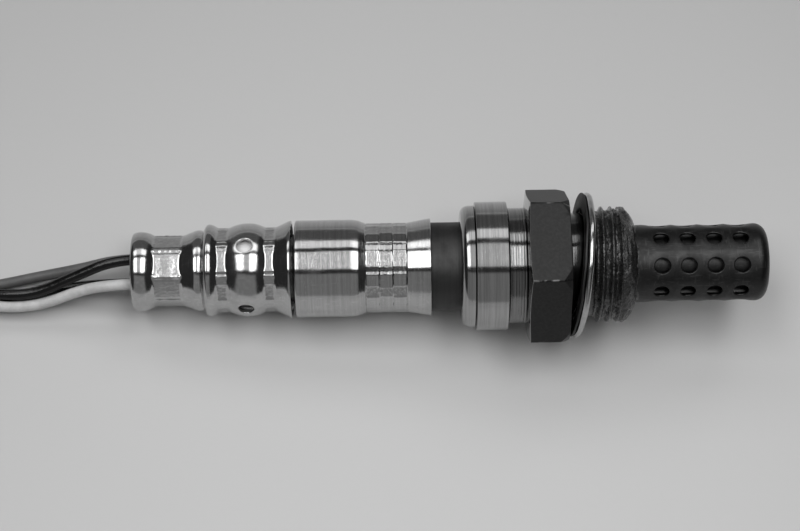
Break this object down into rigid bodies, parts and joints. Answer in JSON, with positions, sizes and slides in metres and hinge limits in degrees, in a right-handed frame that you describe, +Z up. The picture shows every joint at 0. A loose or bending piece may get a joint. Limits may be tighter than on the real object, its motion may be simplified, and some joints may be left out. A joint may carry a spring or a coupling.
{
  "type": "oxygen sensor",
  "caption": "Heated exhaust gas oxygen sensor with a hexagon body, a threaded end, a perforated protection tube, crimped steel covers, leads and a plug on a sleeved harness.",
  "frame": {"origin": "bottom centre of the sensor's own box, without its leads and harness, on the surface it lies on", "axes": "+X from the crimped lead end towards the perforated tip, +Y across, +Z up from the surface"},
  "size_m": [0.2559, 0.0407, 0.0228],
  "materials": {
    "drawn_steel": "drawn, bright, with jaw marks",
    "bright_steel": "brushed round the axis, bright",
    "heat_darkened_steel": "dark oxidised tube, semi-matt",
    "shell_steel": "dark grey oxide, turned edges brighter",
    "gasket_steel": "folded sheet, polished edges",
    "thread_compound": "lumpy dark paste",
    "tube_steel": "dark grey drawn tube, semi-gloss",
    "element_ceramic": "matt, electrode coated",
    "heater_ceramic": "matt",
    "white_ceramic": "matt",
    "pressed_talc": "pressed powder",
    "grommet_rubber": "matt",
    "filter_fluoropolymer": "white, porous",
    "lead_black": "smooth insulation, satin",
    "lead_grey": "smooth insulation, satin",
    "lead_white": "smooth insulation, satin",
    "boot_rubber": "shrunk on, matt",
    "harness_braid": "braided sleeve",
    "tie_plastic": "ribbed strap",
    "connector_plastic": "fine spark-eroded texture",
    "seal_rubber": "ribbed silicone",
    "lock_plastic": "plain moulded",
    "contact_metal": "plated"
  },
  "bodies": {
    "root": {"filter_cover": "drawn_steel", "filter_sleeve": "filter_fluoropolymer", "rear_cover": "bright_steel", "front_cover": "heat_darkened_steel", "sensor_shell": "shell_steel", "gasket_ring": "gasket_steel", "thread_compound": "thread_compound", "outer_protection_tube": "tube_steel", "inner_protection_tube": "tube_steel", "sensing_element": "element_ceramic", "heater_rod": "heater_ceramic", "packing_washer": "gasket_steel", "talc_seal": "pressed_talc", "insulator_ring": "white_ceramic", "caulking_ring": "gasket_steel", "grommet": "grommet_rubber", "lead_inner_ends": "lead_black", "terminal_insulator": "white_ceramic", "insulator_spring": "drawn_steel", "heater_contact_a": "contact_metal", "heater_contact_b": "contact_metal", "signal_contact": "contact_metal", "ground_contact": "contact_metal", "lead_grey": "lead_grey", "lead_black_a": "lead_black", "lead_black_b": "lead_black", "lead_white": "lead_white", "sleeve_band_front": "boot_rubber", "harness_sleeve": "harness_braid", "harness_hank": "harness_braid", "harness_tail": "harness_braid", "hank_tie": "tie_plastic", "connector_housing": "connector_plastic", "connector_seal": "seal_rubber", "connector_lock": "lock_plastic", "connector_terminals": "contact_metal"}
  },
  "joints": []
}
